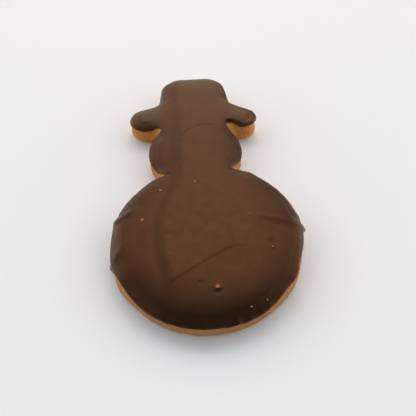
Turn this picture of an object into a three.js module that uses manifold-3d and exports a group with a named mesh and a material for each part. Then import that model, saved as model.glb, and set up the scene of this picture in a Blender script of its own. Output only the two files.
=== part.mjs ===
// A snowman biscuit: a slab of baked gingerbread under a poured coat of milk chocolate.
// Millimetres, +Z up. The hat points along +Y and the baked underside lies on z = 0.
// The plan of both pieces is one signed field, negative inside and zero on the widest
// outline, so every outline and every distance to an edge comes from the same sizes.

import * as THREE from 'three';
import { mergeVertices } from 'three/addons/utils/BufferGeometryUtils.js';
import Module from 'manifold-3d';

const wasm = await Module();
wasm.setup();
const { clamp, degToRad, lerp, smoothstep } = THREE.MathUtils;

// Plan sizes: a round body, a round head, and a hat whose brim droops at both ends.
const BODY = { x: 0.1, y: -25.3, radius: 30.3, skew: 0.26 };
const HEAD = { x: -0.75, y: 12.55, halfWidth: 17.3, halfLength: 17.3 };
const BRIM_MIDDLE = { x: 3.7, y: 37.2, radius: 8 };
const BRIM_LEFT = { x: -19.05, y: 31.95, radius: 6.35 };
const BRIM_RIGHT = { x: 19.3, y: 29.2, radius: 5.55 };
const CROWN = { x: 0.8, y: 46.75, halfBase: 14, halfTop: 13.5, halfHeight: 10.75, corner: 8.65 };
const HAT_FILLET = 5.1;
const CHEEK_FILLET = 6.5;
const NECK_FILLET = 3.6;

// The coat is cut deeper than the biscuit at the cheeks and the neck.
const COAT_CHEEK_FILLET = 4.8;
const COAT_NECK_FILLET = 1.2;

// The drip on the right and the hat reach out further, so all is moved to be centred.
const CENTRING = { x: -0.583, y: -0.95 };

// Where the dough spread past the round or stayed short of it (angles about the body's middle).
const SPREADS = [
  { angle: -154, width: 9, rise: 0.5 },
  { angle: -36, width: 9, rise: 0.35 },
  { angle: 180, width: 15, rise: -0.65 },
];
// Where chocolate ran over the edge and stands proud of the side, and the beads it set in.
const RUNS = [
  { angle: 180, width: 15, rise: 0.6 },
  { angle: 166, width: 6, rise: 0.3 },
  { angle: -168, width: 6, rise: 0.25 },
  { angle: -147, width: 11, rise: -0.5 },
  { angle: -24, width: 14, rise: -0.45 },
  { angle: 2, width: 8, rise: 0.35 },
];
// Where the coat stays short of the biscuit's edge: beside the brim and at the neck.
const BITES = [
  { x: 15, y: 29.8, depth: 2.3, width: 4.5 },
  { x: -13.2, y: 24.6, depth: 0.8, width: 2.6 },
  { x: -12, y: -0.6, depth: 1.7, width: 3.2 },
  { x: 11.2, y: 2.2, depth: 1.5, width: 3.6 },
];
const BEADS = [
  { angle: 164, radius: 1.5, sink: 0.95, low: 2.8, high: 7.8 },
  { angle: -167, radius: 1.6, sink: 1.1, low: 0.9, high: 5.6 },
  { angle: 1, radius: 1.5, sink: 0.75, low: 2.9, high: 7.6 },
];

// The biscuit: its side leans in from a widest line low down to the rounded top edge.
const BISCUIT_HEIGHT = 7.4;
const BISCUIT_EDGE = 1.9;
const BISCUIT_INSET_LOW = 0.1;
const BISCUIT_INSET_HIGH = 1.2;
const SPREAD_LINE = 2.2;

// The coat: a skin about a millimetre thick over the top and the upper side.
const GAP = 0.3;
const COAT_TOP = 8.9;
const COAT_EDGE = 2.8;
const COAT_BLANK_TOP = 9.45;
const COAT_BLANK_BOTTOM = -6;
const DOME = { drop: 0.6, reach: 14 };

// A second pour lies on the first, bounded by a wandering left edge and a slanting front.
const POUR = { height: 0.3, soft: 2, frontSoft: 1, fadeFrom: 5, fadeTo: 17 };
const POUR_LEFT = { x: -7.2, swing: 7.3, from: 4, to: -22, back: 2.2, backFrom: -29, backTo: -42 };
const POUR_FRONT = { y: -31.4, slope: 0.56, bend: 6.3, round: 1.5 };

// Soft ridges through (x, y), gone at one end and full at the other.
const RIDGE_HEIGHT = 0.36;
const RIDGES = [
  { x: 10, y: -19.9, slope: 0, sag: 0.012, width: 2.4, from: 10, to: 22 },
  { x: -20.4, y: -13.6, slope: 0.5, sag: 0, width: 1.6, from: -19, to: -27 },
  { x: -25.4, y: -27.2, slope: 1.4, sag: 0, width: 2, from: -22, to: -27 },
];

// The coat falls away towards the near edge of the body.
const NEAR_DIP = { drop: 0.5, reach: 12, yFrom: -24, yTo: -42 };

// The brim's wings sink in front of the crown's foot.
const WING_DIP = { depth: 0.3, xFrom: 7, xTo: 14, foot: 38.85, low: 31.85, chinFrom: 17, chinTo: 22 };

// The coat's hem on the side: wavy, with a curtain on the left and a drip on the right.
const HEM = { height: 6, wave: 0.28, tilt: 0.011, lowest: 0.8, sideFrom: 18, sideTo: 25 };
const HEM_WAVES = [
  { count: 7, turn: 0.6, share: 1 },
  { count: 12, turn: 2, share: 0.6 },
];
const CURTAIN = { drop: 6, yFrom: -34.6, yFull: -33.4, yFade: -18, yTo: -14 };
const APRON = { drop: 0.6, yFrom: -35, yFull: -32.5, yFade: -26, yTo: -22 };
const DRIP = { drop: 3.4, y: -24.6, width: 1.8 };
const BRIM_LIFT = { rise: 1, yFrom: 18, yTo: 26, xFrom: 8, xTo: 18 };

// Just before the curtain and the drip the hem is drawn up and bares more of the side.
const DRAWN_UP = { rise: 0.9, yFrom: -47, yFull: -41, yFade: -31, yTo: -27 };

// Facet sizes.
const OUTLINE_STEP = 3.2;
const SHORTEST_STEP = 1;
const MOST_TURN = degToRad(20);
const RELIEF_CELL = 2.2;
const BISCUIT_FACETS = 3;
const COAT_FACETS = 4;

const COLOURS = { gingerbread: 0x9c6c3a, chocolate: 0x5f402b };

/** Joins two fields with a fillet of about the given size. */
function blend(a, b, fillet) {
  const t = clamp(0.5 + (0.5 * (b - a)) / fillet, 0, 1);
  return lerp(b, a, t) - fillet * t * (1 - t);
}

/** Polar angle of a point about the body's middle. */
function bodyAngle(x, y) {
  return Math.atan2(y - BODY.y, x - BODY.x);
}

/** Field of the round body, which is a little longer on one diagonal. */
function bodyField(x, y) {
  const radius = BODY.radius + BODY.skew * Math.sin(2 * bodyAngle(x, y));
  return Math.hypot(x - BODY.x, y - BODY.y) - radius;
}

/** Field of the slightly oval head. */
function headField(x, y) {
  const dx = x - HEAD.x;
  const dy = y - HEAD.y;
  const scaled = Math.hypot(dx / HEAD.halfWidth, dy / HEAD.halfLength);
  const slope = Math.hypot(dx / HEAD.halfWidth ** 2, dy / HEAD.halfLength ** 2);
  return (scaled * (scaled - 1)) / Math.max(slope, 1e-9);
}

/** Field of a bar that tapers between two round ends. */
function barField(x, y, from, to) {
  const along = new THREE.Vector2(to.x - from.x, to.y - from.y);
  const point = new THREE.Vector2(x - from.x, y - from.y);
  const t = clamp(point.dot(along) / along.lengthSq(), 0, 1);
  const radius = lerp(from.radius, to.radius, t);
  return point.addScaledVector(along, -t).length() - radius;
}

/** Field of the crown: a block that narrows upwards, with round corners. */
function crownField(x, y) {
  const base = CROWN.halfBase - CROWN.corner;
  const top = CROWN.halfTop - CROWN.corner;
  const height = CROWN.halfHeight - CROWN.corner;
  const px = Math.abs(x - CROWN.x);
  const py = y - CROWN.y;
  const side = new THREE.Vector2(top - base, 2 * height);
  const corner = new THREE.Vector2(top - px, height - py);
  const capX = px - Math.min(px, py < 0 ? base : top);
  const capY = Math.abs(py) - height;
  const t = clamp(corner.dot(side) / side.lengthSq(), 0, 1);
  const sideX = px - top + side.x * t;
  const sideY = py - height + side.y * t;
  const sign = sideX < 0 && capY < 0 ? -1 : 1;
  return sign * Math.min(Math.hypot(capX, capY), Math.hypot(sideX, sideY)) - CROWN.corner;
}

/** Field of the whole plan with the given fillets at the cheeks and the neck. */
function planField(x, y, cheekFillet, neckFillet) {
  const leftBrim = barField(x, y, BRIM_MIDDLE, BRIM_LEFT);
  const rightBrim = barField(x, y, BRIM_MIDDLE, BRIM_RIGHT);
  const hat = blend(Math.min(leftBrim, rightBrim), crownField(x, y), HAT_FILLET);
  const upper = blend(hat, headField(x, y), cheekFillet);
  return blend(upper, bodyField(x, y), neckFillet);
}

/** How far the listed swellings push the body's outline out in this direction. */
function swelling(x, y, swells) {
  const angle = bodyAngle(x, y);
  const reach = smoothstep(bodyField(x, y), -BODY.radius / 2, 0);
  return swells.reduce((sum, swell) => {
    const turn = angle - degToRad(swell.angle);
    const offset = Math.atan2(Math.sin(turn), Math.cos(turn)) / degToRad(swell.width);
    return sum + reach * swell.rise * Math.exp(-offset * offset);
  }, 0);
}

/** How far the coat's edge is drawn in where it stays short of the biscuit's. */
function bitten(x, y) {
  return BITES.reduce((sum, bite) => {
    const offset = Math.hypot(x - bite.x, y - bite.y) / bite.width;
    return sum + bite.depth * Math.exp(-offset * offset);
  }, 0);
}

/** Field of the baked biscuit, zero on its widest outline. */
function biscuitField(x, y) {
  return planField(x, y, CHEEK_FILLET, NECK_FILLET) - swelling(x, y, SPREADS);
}

/** Field of the chocolate, zero on its outer side. */
function coatField(x, y) {
  const figure = planField(x, y, COAT_CHEEK_FILLET, COAT_NECK_FILLET) + bitten(x, y);
  return figure - swelling(x, y, [...SPREADS, ...RUNS]);
}

/** Outward direction of a field at a point, with the field's steepness as its length. */
function slopeOf(field, x, y) {
  const h = 0.01;
  const dx = field(x + h, y) - field(x - h, y);
  const dy = field(x, y + h) - field(x, y - h);
  return new THREE.Vector2(dx, dy).divideScalar(2 * h);
}

/** Moves a point straight out or in until the field has the wanted value there. */
function settle(field, point, value) {
  for (let i = 0; i < 4; i += 1) {
    const slope = slopeOf(field, point.x, point.y);
    const miss = field(point.x, point.y) - value;
    point.addScaledVector(slope, -miss / slope.lengthSq());
  }
  return point;
}

/** The next point along an outline: the stride is halved until the outline turns little in it. */
function nextPoint(field, point, inset) {
  const outward = slopeOf(field, point.x, point.y).normalize();
  const ahead = new THREE.Vector2(-outward.y, outward.x);
  let stride = 2 * OUTLINE_STEP;
  let next;
  do {
    stride /= 2;
    next = settle(field, point.clone().addScaledVector(ahead, stride), -inset);
  } while (stride > SHORTEST_STEP && slopeOf(field, next.x, next.y).angleTo(outward) > MOST_TURN);
  return next;
}

/** Walks once round a field's outline, anticlockwise from the body's lowest point. */
function traceOutline(field, inset) {
  const start = settle(field, new THREE.Vector2(BODY.x, BODY.y - BODY.radius), -inset);
  const points = [start];
  do {
    points.push(nextPoint(field, points.at(-1), inset));
  } while (points.length < 9 || points.at(-1).distanceTo(start) > OUTLINE_STEP * 1.3);
  return points;
}

/** A slab with rounded rims, between two heights. */
function roundedSlab(outline, bottom, top, edge, facets) {
  const slab = new THREE.ExtrudeGeometry(new THREE.Shape(outline), {
    depth: top - bottom - 2 * edge,
    bevelThickness: edge,
    bevelSize: edge,
    bevelOffset: -edge,
    bevelSegments: facets,
    steps: 2,
  });
  return slab.translate(0, 0, bottom + edge);
}

/** Leans a slab's side in, from the line where the dough spread most up to the top. */
function leanSide(slab, top) {
  const position = slab.getAttribute('position');
  for (let i = 0; i < position.count; i += 1) {
    const rise = smoothstep(position.getZ(i), SPREAD_LINE, top);
    const x = position.getX(i);
    const y = position.getY(i);
    const inwards = slopeOf(biscuitField, x, y).normalize();
    const shift = -rise * (BISCUIT_INSET_HIGH - BISCUIT_INSET_LOW);
    position.setXY(i, x + inwards.x * shift, y + inwards.y * shift);
  }
  return slab;
}

/** The biscuit's body, grown all round and upwards by a margin. */
function biscuitSlab(margin, bottom) {
  const outline = traceOutline(biscuitField, BISCUIT_INSET_LOW - margin);
  const top = BISCUIT_HEIGHT + margin;
  return leanSide(roundedSlab(outline, bottom, top, BISCUIT_EDGE, BISCUIT_FACETS), top);
}

/** Runs smoothly from 0 to 1 as a value goes from one end to the other, either way round. */
function fade(value, from, to) {
  const way = Math.sign(to - from);
  return smoothstep(way * value, way * from, way * to);
}

/** 1 between two heights of y, with soft ends. */
function stretch(y, { yFrom, yFull, yFade, yTo }) {
  return fade(y, yFrom, yFull) * fade(y, yTo, yFade);
}

/** Height that one soft ridge adds. */
function ridgeHeight(x, y, ridge) {
  const line = ridge.y + ridge.slope * (x - ridge.x) - ridge.sag * (x - ridge.x) ** 2;
  const offset = (y - line) / ridge.width;
  return RIDGE_HEIGHT * fade(x, ridge.from, ridge.to) * Math.exp(-offset * offset);
}

/** Height that the second pour adds: right of its left edge and above its front. */
function pourHeight(x, y) {
  const swing = POUR_LEFT.swing * fade(y, POUR_LEFT.from, POUR_LEFT.to);
  const back = POUR_LEFT.back * fade(y, POUR_LEFT.backFrom, POUR_LEFT.backTo);
  const leftEdge = POUR_LEFT.x - swing + back;
  const { round } = POUR_FRONT;
  const bend = round * Math.log(1 + Math.exp((POUR_FRONT.bend - x) / round));
  const front = POUR_FRONT.y - POUR_FRONT.slope * bend;
  const pastLeft = fade(x - leftEdge, -POUR.soft, POUR.soft);
  const pastFront = fade(y - front, -POUR.frontSoft, POUR.frontSoft);
  return POUR.height * pastLeft * lerp(fade(x, POUR.fadeFrom, POUR.fadeTo), 1, pastFront);
}

/** How far the brim's two wings sink in front of the crown's foot. */
function wingDip(x, y) {
  const wing = fade(Math.abs(x - CROWN.x), WING_DIP.xFrom, WING_DIP.xTo);
  const ahead = fade(y, WING_DIP.foot, WING_DIP.low) * fade(y, WING_DIP.chinFrom, WING_DIP.chinTo);
  return WING_DIP.depth * wing * ahead;
}

/** How far the coat falls away towards the near edge of the body. */
function nearDip(x, y) {
  const share = clamp(1 + coatField(x, y) / NEAR_DIP.reach, 0, 1);
  return NEAR_DIP.drop * share * share * fade(y, NEAR_DIP.yFrom, NEAR_DIP.yTo);
}

/** Height of the chocolate's upper surface. */
function coatTop(x, y) {
  const edge = clamp(1 + coatField(x, y) / DOME.reach, 0, 1.2);
  const ridges = RIDGES.reduce((sum, ridge) => sum + ridgeHeight(x, y, ridge), 0);
  const crowned = COAT_TOP - DOME.drop * edge * edge;
  return crowned + pourHeight(x, y) + ridges - wingDip(x, y) - nearDip(x, y);
}

/** Height of the chocolate's lower edge on the side of the biscuit. */
function coatHem(x, y) {
  const angle = bodyAngle(x, y);
  const waves = HEM_WAVES.reduce((sum, { count, turn, share }) => {
    return sum + HEM.wave * share * Math.sin(count * angle + turn);
  }, HEM.tilt * x);
  const leftSide = fade(x, -HEM.sideFrom, -HEM.sideTo);
  const rightSide = fade(x, HEM.sideFrom, HEM.sideTo);
  const curtain = CURTAIN.drop * leftSide * stretch(y, CURTAIN);
  const apron = APRON.drop * rightSide * stretch(y, APRON);
  const drawnUp = DRAWN_UP.rise * (leftSide + rightSide) * stretch(y, DRAWN_UP);
  const drip = DRIP.drop * rightSide * Math.exp(-(((y - DRIP.y) / DRIP.width) ** 2));
  const brim = BRIM_LIFT.rise * fade(y, BRIM_LIFT.yFrom, BRIM_LIFT.yTo);
  const lift = brim * fade(x, BRIM_LIFT.xFrom, BRIM_LIFT.xTo);
  return Math.max(HEM.height + waves + lift + drawnUp - curtain - apron - drip, HEM.lowest);
}

/** A block whose upper face is the coat's surface and whose lower face is its hem. */
function reliefBlock() {
  const halfWidth = BODY.radius + 3;
  const halfLength = CROWN.y + CROWN.halfHeight + 2;
  const columns = Math.round((2 * halfWidth) / RELIEF_CELL);
  const rows = Math.round((2 * halfLength) / RELIEF_CELL);
  const block = new THREE.BoxGeometry(2 * halfWidth, 2 * halfLength, 1, columns, rows, 1);
  const position = block.getAttribute('position');
  for (let i = 0; i < position.count; i += 1) {
    const x = position.getX(i);
    const y = position.getY(i);
    position.setZ(i, position.getZ(i) > 0 ? coatTop(x, y) : coatHem(x, y));
  }
  return block;
}

/** A bead of set chocolate: a tall ball half sunk in the coat's side. */
function beadBall({ angle, radius, sink, low, high }) {
  const ball = new THREE.SphereGeometry(radius, 10, 8).rotateX(Math.PI / 2);
  const direction = new THREE.Vector2(1, 0).rotateAround(new THREE.Vector2(), degToRad(angle));
  const edge = direction.clone().multiplyScalar(BODY.radius).add(new THREE.Vector2(BODY.x, BODY.y));
  const centre = settle(coatField, edge, -sink);
  ball.scale(1, 1, (high - low) / (2 * radius));
  return ball.translate(centre.x, centre.y, (high + low) / 2);
}

/** Turns a closed geometry into a solid that can be cut and joined. */
function toSolid(geometry) {
  geometry.deleteAttribute('normal');
  geometry.deleteAttribute('uv');
  const merged = mergeVertices(geometry, 1e-4);
  const vertProperties = new Float32Array(merged.getAttribute('position').array);
  const triVerts = new Uint32Array(merged.getIndex().array);
  return new wasm.Manifold(new wasm.Mesh({ numProp: 3, vertProperties, triVerts }));
}

/** Turns a solid back into a geometry. */
function toGeometry(solid) {
  const mesh = solid.getMesh();
  const geometry = new THREE.BufferGeometry();
  geometry.setAttribute('position', new THREE.BufferAttribute(mesh.vertProperties, 3));
  geometry.setIndex(new THREE.BufferAttribute(mesh.triVerts, 1));
  geometry.computeVertexNormals();
  return geometry;
}

/** The baked slab. */
function gingerbread() {
  const material = new THREE.MeshStandardMaterial({
    color: COLOURS.gingerbread,
    roughness: 0.9,
    metalness: 0,
  });
  const mesh = new THREE.Mesh(toGeometry(toSolid(biscuitSlab(0, 0))), material);
  mesh.name = 'gingerbread';
  return mesh;
}

/** The chocolate skin: a rounded slab cut to the relief block, with beads, less the biscuit. */
function chocolateCoat() {
  const outline = traceOutline(coatField, 0);
  const slab = roundedSlab(outline, COAT_BLANK_BOTTOM, COAT_BLANK_TOP, COAT_EDGE, COAT_FACETS);
  const blank = toSolid(slab);
  const pocket = toSolid(biscuitSlab(GAP, -BISCUIT_EDGE));
  const poured = blank.intersect(toSolid(reliefBlock()));
  const beaded = BEADS.reduce((solid, bead) => solid.add(toSolid(beadBall(bead))), poured);
  const skin = beaded.subtract(pocket);
  const material = new THREE.MeshStandardMaterial({
    color: COLOURS.chocolate,
    roughness: 0.4,
    metalness: 0,
  });
  const mesh = new THREE.Mesh(toGeometry(skin), material);
  mesh.name = 'chocolate_coat';
  return mesh;
}

const snowman = new THREE.Group();
snowman.add(gingerbread(), chocolateCoat());
snowman.position.set(CENTRING.x, CENTRING.y, 0);

export default snowman;
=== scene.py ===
"""A gingerbread snowman: a baked slab under a poured coat of milk chocolate.

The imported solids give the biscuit's thickness and place. Both are replaced here by
finer skins of the same form, grown ring by ring from the snowman's outline, with a
relief of flow lines, ridges, drips and pores. Plan sizes are in millimetres, and the
meshes, the lamp and the floor in metres.
"""

import logging
import math
from dataclasses import dataclass, field
from enum import Enum
from typing import Callable, Iterable, Mapping

import bmesh
import bpy
import numpy as np
from mathutils import Euler, Matrix, Vector, kdtree, noise


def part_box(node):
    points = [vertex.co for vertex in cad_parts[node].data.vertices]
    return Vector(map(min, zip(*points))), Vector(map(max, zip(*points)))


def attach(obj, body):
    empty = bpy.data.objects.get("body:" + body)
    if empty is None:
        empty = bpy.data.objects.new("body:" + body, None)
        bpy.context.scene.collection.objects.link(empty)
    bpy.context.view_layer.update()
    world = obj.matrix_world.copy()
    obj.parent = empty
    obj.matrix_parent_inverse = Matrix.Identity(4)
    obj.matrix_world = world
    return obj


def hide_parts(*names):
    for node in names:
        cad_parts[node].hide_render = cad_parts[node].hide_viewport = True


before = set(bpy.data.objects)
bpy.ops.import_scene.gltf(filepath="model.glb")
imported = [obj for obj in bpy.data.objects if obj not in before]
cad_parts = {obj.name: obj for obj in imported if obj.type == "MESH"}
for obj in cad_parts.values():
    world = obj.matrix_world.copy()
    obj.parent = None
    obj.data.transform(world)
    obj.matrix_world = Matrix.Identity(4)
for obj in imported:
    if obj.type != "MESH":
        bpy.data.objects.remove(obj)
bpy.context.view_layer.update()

LOG = logging.getLogger("snowman")
MM = 0.001
UPWARDS = (0.0, 0.0, 1.0)
SLOPE_STEP = 0.01
SETTLE_ROUNDS = 3
FRACTAL_FALLOFF = 1.0
FRACTAL_STEP = 2.0
TINY = 1e-6
MIDDLE_COLUMNS = 400

Array = np.ndarray
Pair = tuple[Array, Array]
Ring = tuple[Array, Array, Array]
PlanField = Callable[[Array, Array], Array]
Colour = tuple[float, float, float]
Inputs = Mapping[str, float | tuple[float, ...]]
Socket = bpy.types.NodeSocket
Material = bpy.types.Material
Piece = bpy.types.Object
Vert = bmesh.types.BMVert


class Node(Enum):
    """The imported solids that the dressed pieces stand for."""

    GINGERBREAD = "gingerbread"
    CHOCOLATE = "chocolate_coat"


class Slot(Enum):
    """The record's material slots."""

    GINGERBREAD = "gingerbread"
    CHOCOLATE = "chocolate"


class Layer(Enum):
    """Values stored at a skin's vertices for its finish."""

    # the tone's negative end lays a painted sheen on the brim's wings
    TONE = "tone"
    # painted highlight: a pale colour laid along the coat's hem
    HEM_HIGHLIGHT = "mark"


# ---------------------------------------------------------------- small mathematics


def fade(value: Array, start: float, end: float) -> Array:
    """Run smoothly from 0 at one value to 1 at another, either way round.

    Args:
        value: What is compared with the two ends.
        start: Where the result is 0.
        end: Where the result is 1.

    Returns:
        The eased share, of the same shape as the value.
    """
    share = np.clip((value - start) / (end - start), 0.0, 1.0)
    return share * share * (3.0 - 2.0 * share)


def bell(offset: Array, width: float) -> Array:
    """Return a bell curve of the given width, 1 at no offset."""
    return np.exp(-((offset / width) ** 2))


def closeness(distance: Array, reach: float) -> Array:
    """Return 1 at no distance, falling off as a square to 0 at the reach."""
    return np.clip(1.0 - distance / reach, 0.0, 1.0) ** 2


def rounding(share: Array) -> Array:
    """Return how far a quarter round has curved away, from 0 to 1."""
    return 1.0 - np.sqrt(1.0 - np.clip(share, 0.0, 1.0) ** 2)


def blend(a: Array, b: Array, fillet: float) -> Array:
    """Join two fields with a fillet.

    Args:
        a: First field.
        b: Second field.
        fillet: Size of the fillet between them.

    Returns:
        The joined field.
    """
    share = np.clip(0.5 + 0.5 * (b - a) / fillet, 0.0, 1.0)
    return b + (a - b) * share - fillet * share * (1.0 - share)


def eased(values: Array, rounds: int) -> Array:
    """Smooth values that run round a closed ring.

    Args:
        values: One value for each column of the ring.
        rounds: How often each value gives way to its neighbours.

    Returns:
        The smoothed values.
    """
    for _ in range(rounds):
        values = 0.5 * values + 0.25 * (np.roll(values, 1) + np.roll(values, -1))
    return values


def slope_of(plan: PlanField, x: Array, y: Array) -> Pair:
    """Work out the slope of a field.

    Args:
        plan: The field.
        x: Places across.
        y: Places along.

    Returns:
        The slope's part across and its part along.
    """
    across = (plan(x + SLOPE_STEP, y) - plan(x - SLOPE_STEP, y)) / (2 * SLOPE_STEP)
    along = (plan(x, y + SLOPE_STEP) - plan(x, y - SLOPE_STEP)) / (2 * SLOPE_STEP)
    return across, along


def settle(plan: PlanField, x: Array, y: Array, value: Array | float) -> Pair:
    """Move points straight out or in until a field has the wanted value there.

    Args:
        plan: The field.
        x: Places across.
        y: Places along.
        value: The value that the field should have, one for all or one for each.

    Returns:
        The moved places.
    """
    for _ in range(SETTLE_ROUNDS):
        across, along = slope_of(plan, x, y)
        miss = (plan(x, y) - value) / (across**2 + along**2)
        x, y = x - across * miss, y - along * miss
    return x, y


def over_plan(x: Array, y: Array) -> Array:
    """Return one row of three values for each place, with no height."""
    return np.column_stack((x, y, np.zeros_like(x)))


@dataclass(frozen=True)
class Ramp:
    """A smooth run from 0 at one value to 1 at another, either way round."""

    start: float
    end: float

    def at(self, value: Array) -> Array:
        """Return the share at each value."""
        return fade(value, self.start, self.end)


@dataclass(frozen=True)
class Stretch:
    """A stretch of values that fades in between two ends and out between two others."""

    start: float
    full: float
    waning: float
    end: float

    def at(self, value: Array) -> Array:
        """Return the share at each value, 1 inside the stretch."""
        return fade(value, self.start, self.full) * fade(value, self.end, self.waning)


@dataclass(frozen=True)
class Bump:
    """A bell curve about a value."""

    middle: float
    width: float
    height: float = 1.0

    def at(self, value: Array) -> Array:
        """Return the curve's height at each value."""
        return self.height * bell(value - self.middle, self.width)


@dataclass(frozen=True)
class Patch:
    """A raised or lowered part of the plan, bounded across and along."""

    height: float
    across: Ramp
    along: Ramp | Stretch | Bump

    def at(self, x: Array, y: Array) -> Array:
        """Return the height that the patch adds."""
        return self.height * self.across.at(x) * self.along.at(y)


@dataclass(frozen=True)
class Wave:
    """A wave that runs a number of times round the body."""

    height: float
    count: float
    phase: float

    def at(self, angle: Array) -> Array:
        """Return the wave's height at each angle."""
        return self.height * np.sin(self.count * angle + self.phase)


@dataclass(frozen=True)
class Grain:
    """Smooth noise: its height, the size of its lumps, its octaves and its own seed."""

    height: float
    scale: float
    octaves: int
    seed: float

    def at(self, points: Array) -> Array:
        """Return smooth noise at points.

        Args:
            points: One row of three millimetre values for each point.

        Returns:
            Noise of about plus or minus the height for each point.
        """
        shift = Vector((self.seed, -self.seed, 2.0 * self.seed))
        rows = (Vector(row) / self.scale + shift for row in points)
        values = [noise.fractal(row, FRACTAL_FALLOFF, FRACTAL_STEP, self.octaves) for row in rows]
        return self.height * np.array(values)


@dataclass(frozen=True)
class Pores:
    """Scattered pores: their depth, the distance between them, and their own seed."""

    depth: float
    spacing: float
    seed: float
    shape: Ramp = Ramp(0.34, 0.08)

    def at(self, points: Array) -> Array:
        """Return how deep the pores are at points.

        Args:
            points: One row of three millimetre values for each point.

        Returns:
            The depth in the middle of a pore, and 0 away from them.
        """
        shift = Vector((self.seed, 3.0 * self.seed, -self.seed))
        rows = (Vector(row) / self.spacing + shift for row in points)
        return self.depth * self.shape.at(np.array([noise.voronoi(row)[0][0] for row in rows]))


# ---------------------------------------------------------------- plan of the biscuit


@dataclass(frozen=True)
class Disc:
    """A round in plan."""

    x: float
    y: float
    radius: float


@dataclass(frozen=True)
class Oval:
    """An oval in plan. With equal half sizes it is a round."""

    x: float
    y: float
    half_width: float
    half_length: float

    def field(self, x: Array, y: Array) -> Array:
        """Work out the oval's field.

        Args:
            x: Places across.
            y: Places along.

        Returns:
            The field's values, negative inside.
        """
        across, along = (x - self.x) / self.half_width, (y - self.y) / self.half_length
        scaled = np.hypot(across, along)
        slope = np.hypot(across / self.half_width, along / self.half_length)
        return scaled * (scaled - 1.0) / np.maximum(slope, TINY)


@dataclass(frozen=True)
class Crown:
    """The hat's crown: a block that narrows upwards, with round corners."""

    x: float = 0.8
    y: float = 46.75
    half_base: float = 14.0
    half_top: float = 13.5
    half_height: float = 10.75
    corner: float = 8.65


@dataclass(frozen=True)
class Swell:
    """A place on the round body where the edge bulges out, or draws in."""

    angle: float
    width: float
    rise: float


@dataclass(frozen=True)
class Bite:
    """A place where the coat stays short of the biscuit's edge."""

    x: float
    y: float
    depth: float
    width: float

    def at(self, x: Array, y: Array) -> Array:
        """Return how far the coat's edge is drawn in."""
        return self.depth * bell(np.hypot(x - self.x, y - self.y), self.width)


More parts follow.
